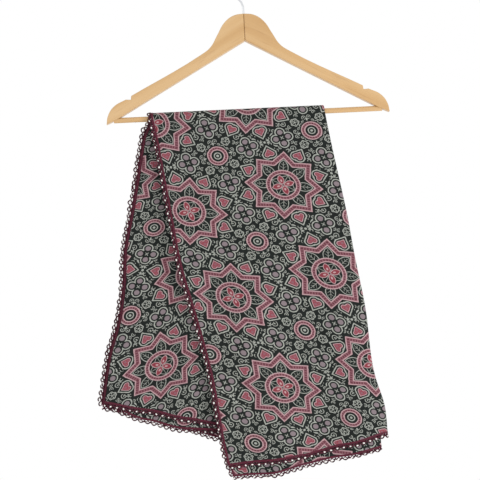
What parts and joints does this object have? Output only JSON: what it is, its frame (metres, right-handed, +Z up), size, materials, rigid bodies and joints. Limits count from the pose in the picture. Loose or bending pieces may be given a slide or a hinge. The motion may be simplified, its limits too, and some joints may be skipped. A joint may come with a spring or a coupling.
{
  "type": "ajrakh cloth on wooden hanger",
  "caption": "Printed cloth with a looped, scalloped edging, folded lengthwise and hung askew over the bar of a flat wooden coat hanger with a wire hook.",
  "frame": {"origin": "the point inside the top of the hook, where the rail bears", "axes": "+Z up along the hook's stem, +X to the right along the bar as seen from the front, -Y towards the front, where the longer half of the cloth hangs"},
  "size_m": [0.4828, 0.0357, 0.802],
  "materials": {
    "printed_cloth": "matte",
    "edging_yarn": "matte",
    "pale_wood": "satin",
    "plated_wire": "polished"
  },
  "bodies": {
    "root": {"cloth": "printed_cloth", "edging_side_outer": "edging_yarn", "edging_side_inner": "edging_yarn", "edging_hem_front": "edging_yarn", "edging_hem_back": "edging_yarn", "arm_left": "pale_wood", "arm_right": "pale_wood", "bar": "pale_wood", "hook": "plated_wire"}
  },
  "joints": []
}
